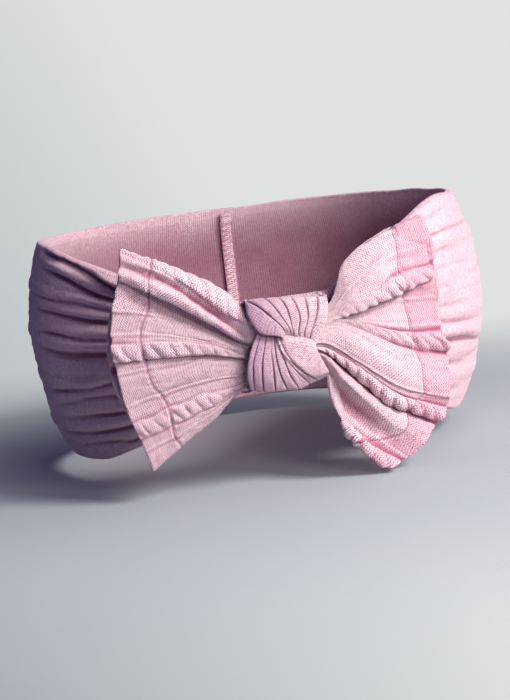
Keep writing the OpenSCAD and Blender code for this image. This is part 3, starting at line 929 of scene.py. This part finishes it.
def crease_relief(around, height):
    """Depth of the creases that run out from the knot, and the soft rise above each, in mm."""
    away = np.abs(around)
    raised = np.zeros(height.shape)
    for depth, width, *path in BAND_CREASES:
        turns, heights = [abs(place[0]) for place in path], [place[1] for place in path]
        side = math.copysign(1, path[0][0])
        line = np.interp(away, turns, heights) + 0.35 * np.sin(away / 5 + depth * 9)
        fade = (np.sign(around) == side) * (1 - smooth((away - turns[-2]) / (turns[-1] - turns[-2] + 6)))
        near = height - line
        depth *= 0.68 if side < 0 else 0.5
        raised -= depth * fade * np.exp(-((near / width) ** 2))
        raised += 0.45 * depth * fade * np.exp(-(((near - 1.9 * width) / (1.3 * width)) ** 2))
    return raised


def band_relief(angle, share):
    """Height of gathers, creases, cables, ribs and the back seam over the band's outside, in mm."""
    around = np.where(angle <= 180, angle, angle - 360)
    away, left = np.abs(around), around < 0
    top, bottom = band_edges(angle)
    tall = top - bottom
    height = bottom + tall * share
    arc = np.radians(angle) * (HEAD + 2)
    gather = np.exp(-((away / 30) ** 2))
    raised = np.zeros(height.shape)
    drift = 0.03 * wander(away / 24, share * 3, 31)
    for number, size, seed in ((8, 1.2, 1), (14, 0.5, 2)):
        bend = 1.2 * wander(away / 40, seed + left, 33)
        raised += size * gather * np.abs(np.sin(math.pi * (share + drift) * number + seed + bend))
    raised += crease_relief(around, height)
    roll = left * smooth((away - 18) / 14) * (1 - smooth((away - 52) / 22))
    raised += 1.5 * roll * np.exp(-(((height - top + 2.0) / 2.0) ** 2))
    flat = 1 - 0.5 * gather
    for place in BAND_CABLES:
        raised += cable((share - place) * tall, arc, width=3.9, lobe=4.4, height=0.42) * flat
    for place in BAND_RIBS:
        raised += rib((share - place) * tall, height=0.16) * flat
    raised += 0.25 * wander(arc / 18, share * 8, 35) + 0.1 * wander(arc / 3.5, share * 22, 36)
    from_seam = np.abs(angle - 180) * math.radians(1) * HEAD
    pucker = 0.3 * np.sin(share * 60) * np.exp(-((from_seam / 5) ** 2))
    groove = 0.75 * np.exp(-((from_seam / 0.55) ** 2))
    shoulders = 0.25 * np.exp(-(((from_seam - 1.8) / 1.1) ** 2))
    return raised + (pucker - groove + shoulders)


def band():
    """The band: a flattened knit tube whose outside is gathered towards the knot.

    Its section goes up the outside, over the top rim, down the inside and round the bottom rim. share is the
    height as a share, depth is 1 on the outside and -1 on the inside, and out is how far a rim stands out.
    """
    angle = np.linspace(0, 360, 561)[None, :]
    outer, rim, inner = 100, 7, 26
    over, under = (np.linspace(*ends, rim + 2)[1:-1] for ends in ((0, math.pi), (math.pi, 0)))
    share = [np.linspace(0, 1, outer), np.ones(rim), np.linspace(1, 0, inner), np.zeros(rim)]
    depth = [np.ones(outer), np.cos(over), -np.ones(inner), np.cos(under)]
    out = [np.zeros(outer), np.sin(over), np.zeros(inner), -np.sin(under)]
    share, depth, out = (np.concatenate(a + [a[0][:1]])[:, None] for a in (share, depth, out))
    away = np.minimum(angle, 360 - angle)
    gathered = 1 - smooth((away - GATHER_FLAT) / 20)
    inside = HEAD + 0.15 + 1.7 * gathered
    outside = HEAD + 1.9 + 4.4 * gathered
    top, bottom = band_edges(angle)
    relief = band_relief(angle, share) * (depth > -0.5) * np.sqrt(np.clip(depth * 0.5 + 0.5, 0, 1))
    inner_waves = 0.03 * wander(np.radians(angle) * HEAD / 6, share * 12, 41)
    middle, half = (inside + outside) / 2, (outside - inside) / 2
    loose = np.where(angle > 180, 2.3, 0.9) * np.sin(np.radians(angle)) ** 2 * (1 - smooth(share / 0.42))
    radius = middle + half * depth + relief + inner_waves * (depth < 0) + loose
    edge_wave = 0.25 * wander(np.radians(angle) * HEAD / 12, np.sign(out) * 3, 43)
    height = bottom + (top - bottom) * share + (half * 0.8 + edge_wave * (away > 12)) * out
    level = np.sqrt(np.maximum(radius**2 - height**2, 1))
    turn = np.radians(angle)
    points = np.stack([level * np.sin(turn), -level * np.cos(turn), height], axis=-1)
    points[:, -1] = points[:, 0]
    arc = np.broadcast_to(turn * HEAD, radius.shape)
    run = 66 * share * np.where(depth > -0.5, 1, -1)
    weave = np.stack(np.broadcast_arrays(arc, run), axis=-1)
    return cloth("band_cloth", points, weave, band_knit, closed=True)


def seam_ridge():
    """The turned-in ends of the band, a puckered ridge on the inside at the back."""
    low = math.degrees(math.asin(BAND_BOTTOM / HEAD)) + 1.2
    high = math.degrees(math.asin(BAND_TOP / HEAD)) - 1.2
    tilt = np.radians(np.linspace(low, high, 200))[None, :]
    turn = np.linspace(0, 2 * math.pi, 49)[:, None]
    swell = 0.62 + 0.1 * np.sin(tilt * HEAD * 2 * math.pi / 3) + 0.05 * wander(tilt * HEAD, turn, 51)
    across = 1.95 * np.sign(np.cos(turn)) * np.abs(np.cos(turn)) ** 0.6
    across = across + 0.15 * wander(tilt * HEAD / 3, 1, 52)
    radius = HEAD - 0.9 + swell * np.sin(turn)
    points = np.stack(np.broadcast_arrays(across, radius * np.cos(tilt), radius * np.sin(tilt)), axis=-1)
    weave = np.stack(np.broadcast_arrays(tilt * HEAD, turn * 1.2), axis=-1)
    piece = cloth("band_seam_ridge", points, weave, band_knit, closed=True)
    shape = bmesh.new()
    shape.from_mesh(piece.data)
    bmesh.ops.holes_fill(shape, edges=shape.edges)
    bmesh.ops.recalc_face_normals(shape, faces=shape.faces)
    shape.to_mesh(piece.data)
    shape.free()
    return piece


def overlock():
    """Overlock thread: slanting stitches over the ridge, joined by a chain along each side."""
    low = math.degrees(math.asin(BAND_BOTTOM / HEAD)) + 2.4
    high = math.degrees(math.asin(BAND_TOP / HEAD)) - 2.4
    inner = HEAD - 1.75
    runs = []
    angles = np.radians(np.arange(low, high, 1.5))

    def at(across, tilt, radius):
        return (across, radius * math.cos(tilt), radius * math.sin(tilt))

    for here, there in zip(angles, angles[1:]):
        crest = at(0, (here * 2 + there) / 3, inner)
        runs.append((at(-1.7, here, inner + 0.15), crest))
        runs.append((crest, at(1.7, there, inner + 0.15)))
        for across in (-1.85, 1.85):
            runs.append((at(across, here, inner + 0.3), at(across * 1.06, there, inner + 0.3)))
    return stitches("band_overlock_thread", runs, SEAM_THREAD, thread)


# ---------------------------------------------------------------- light, floor and camera


def lamp(name, place, aim, size, power, colour):
    """A round lamp at a place, turned to its aim."""
    light = bpy.data.lights.new(name, "AREA")
    light.shape, light.size, light.energy, light.color = "DISK", size, power, colour
    lit = bpy.data.objects.new(name, light)
    lit.location = place
    lit.rotation_euler = (Vector(aim) - Vector(place)).to_track_quat("-Z", "Y").to_euler()
    bpy.context.scene.collection.objects.link(lit)


def camera():
    """A camera in front, a little to the left and above, that is rolled slightly."""
    place = Vector((-0.0570, -0.5545, 0.0539))
    aim = Vector((-0.0019, -0.0015, -0.0139))
    lens = bpy.data.cameras.new("camera")
    lens.lens, lens.sensor_width = 92.5, 36.0
    seen = bpy.data.objects.new("camera", lens)
    seen.location = place
    turn = (aim - place).to_track_quat("-Z", "Y")
    roll = Matrix.Rotation(math.radians(-7.2), 4, "Z")
    seen.matrix_world = Matrix.Translation(place) @ turn.to_matrix().to_4x4() @ roll
    bpy.context.scene.collection.objects.link(seen)
    bpy.context.scene.camera = seen


def floor(height):
    """A pale round floor that fades out before its rim and is clear from below."""
    shape = bmesh.new()
    place = Matrix.Translation((0, 0, height))
    bmesh.ops.create_circle(shape, cap_ends=True, segments=96, radius=0.6, matrix=place)
    mesh = bpy.data.meshes.new("floor")
    shape.to_mesh(mesh)
    shape.free()
    made = bpy.data.materials.new("pale_floor")
    made.use_nodes = True
    tree = made.node_tree
    surface = tree.nodes["Principled BSDF"]
    start = Value(tree)
    distance = start.node("ShaderNodeVectorMath", {0: on_piece(start)}, {"operation": "LENGTH"}, out=1)
    solid = distance.ramp(0.08, 0.30, 1.0, 0.0, interpolation_type="SMOOTHSTEP")
    alpha = solid * (1 - start.node("ShaderNodeNewGeometry", out="Backfacing"))
    tree.links.new(alpha.socket, surface.inputs["Alpha"])
    surface.inputs["Base Color"].default_value = (0.36, 0.385, 0.41, 1)
    surface.inputs["Roughness"].default_value = 0.9
    piece = new_piece("floor", mesh, made)


def surroundings():
    """A pale backdrop, painted darker and bluer towards the lower left as painted shade. The light that it
    gives is pale on the right and dim violet on the left.
    """
    world = bpy.data.worlds.new("studio")
    bpy.context.scene.world = world
    world.use_nodes = True
    tree = world.node_tree
    ground = tree.nodes["Background"]
    start = Value(tree)
    direction = start.node("ShaderNodeTexCoord", out=0)
    right, high = direction.part(0), direction.part(2)
    share = right * 0.5 + 0.5
    light = (share * share).mixed((0.03, 0.025, 0.15), (0.64, 0.62, 0.62))
    # Painted shade: what the camera sees of the backdrop is darker and bluer towards the lower left.
    backdrop = (right * 2.6 + high * 1.2 + 0.8).mixed((0.24, 0.29, 0.33), (0.75, 0.76, 0.755))
    in_camera = start.node("ShaderNodeLightPath")
    shown = in_camera.mixed(light, backdrop)
    tree.links.new(shown.socket, ground.inputs["Color"])
    ground.inputs["Strength"].default_value = 1.0


camera()
surroundings()
floor(min(BAND_BOTTOM, box("right_wing")[0][2]) * MM - 0.002)
lamp("window", (0.50, -0.62, 0.50), (0, -0.05, 0), 0.34, 12.8, (0.99, 0.975, 0.95))
lamp("side", (0.62, -0.02, 0.12), (0, -0.03, 0), 0.4, 0.8, (1.0, 0.98, 0.96))
lamp("front", (0.2, -0.74, 0.20), (-0.02, -0.07, 0), 0.22, 2.3, (1.0, 0.95, 0.98))
bpy.context.scene.view_settings.view_transform = "Standard"

# ---------------------------------------------------------------- assembly

for side in ("left", "right"):
    name = side + "_wing"
    wing = make_wing(name)
    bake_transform(wing)
    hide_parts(name)
    hem = hem_stitches(name)
    dress(hem, name, "thread", side + "_hem_thread")

upper = strand(
    "knot_upper_cloth",
    UPPER_CREASES,
    bump=(1.1, 0.9, 0.8, 0.9, 0.7, 0.8, 0.9),
    over=((0.93, 0.0, BACK_TOP, 69.7), (0.95, 0.25, BACK_TOP + 0.2, 74.2), (0.98, 0.8, BACK_TOP, 79.4)),
    tuck=(0.4, -2.2, -1.6),
    sides=((0.8, 0.3, -3.0), (-1.2, 0, -3.4)),
)
dress(upper, "band_and_knot", "knot_knit", "knot_upper_strand")
lower = strand(
    "knot_lower_cloth",
    LOWER_CREASES,
    bump=(0.5, 0.7, 0.8, 0.8, 0.8, 0.7, 0.2, 1.1),
    over=(
        (0.93, 0.0, KNOT_BOTTOM + 0.3, 69.7),
        (0.95, 0.2, KNOT_BOTTOM + 0.1, 74.2),
        (0.98, 0.7, KNOT_BOTTOM, 79.4),
    ),
    tuck=(0.3, 1.4, -2.2),
    sides=((1.0, 0, -3.4), (-1.2, 0, -3.4)),
)
dress(lower, "band_and_knot", "knot_knit", "knot_lower_strand")
upper_tail = tail("knot_upper_tail_cloth", TAIL_END + 0.15, BACK_TOP, 61)
dress(upper_tail, "band_and_knot", "knot_knit", "knot_upper_tail")
lower_tail = tail("knot_lower_tail_cloth", KNOT_BOTTOM, TAIL_END - 0.15, 62)
dress(lower_tail, "band_and_knot", "knot_knit", "knot_lower_tail")
closing = closing_stitches()
dress(closing, "band_and_knot", "thread", "knot_closing_thread")
waist = bow_waist()
dress(waist, "band_and_knot", "bow_knit", "bow_waist")
binding = waist_binding()
dress(binding, "band_and_knot", "thread", "waist_binding_thread")
ring = band()
dress(ring, "band_and_knot", "band_knit", "band")
ridge = seam_ridge()
dress(ridge, "band_and_knot", "band_knit", "band_back_seam")
edging = overlock()
dress(edging, "band_and_knot", "thread", "band_seam_thread")
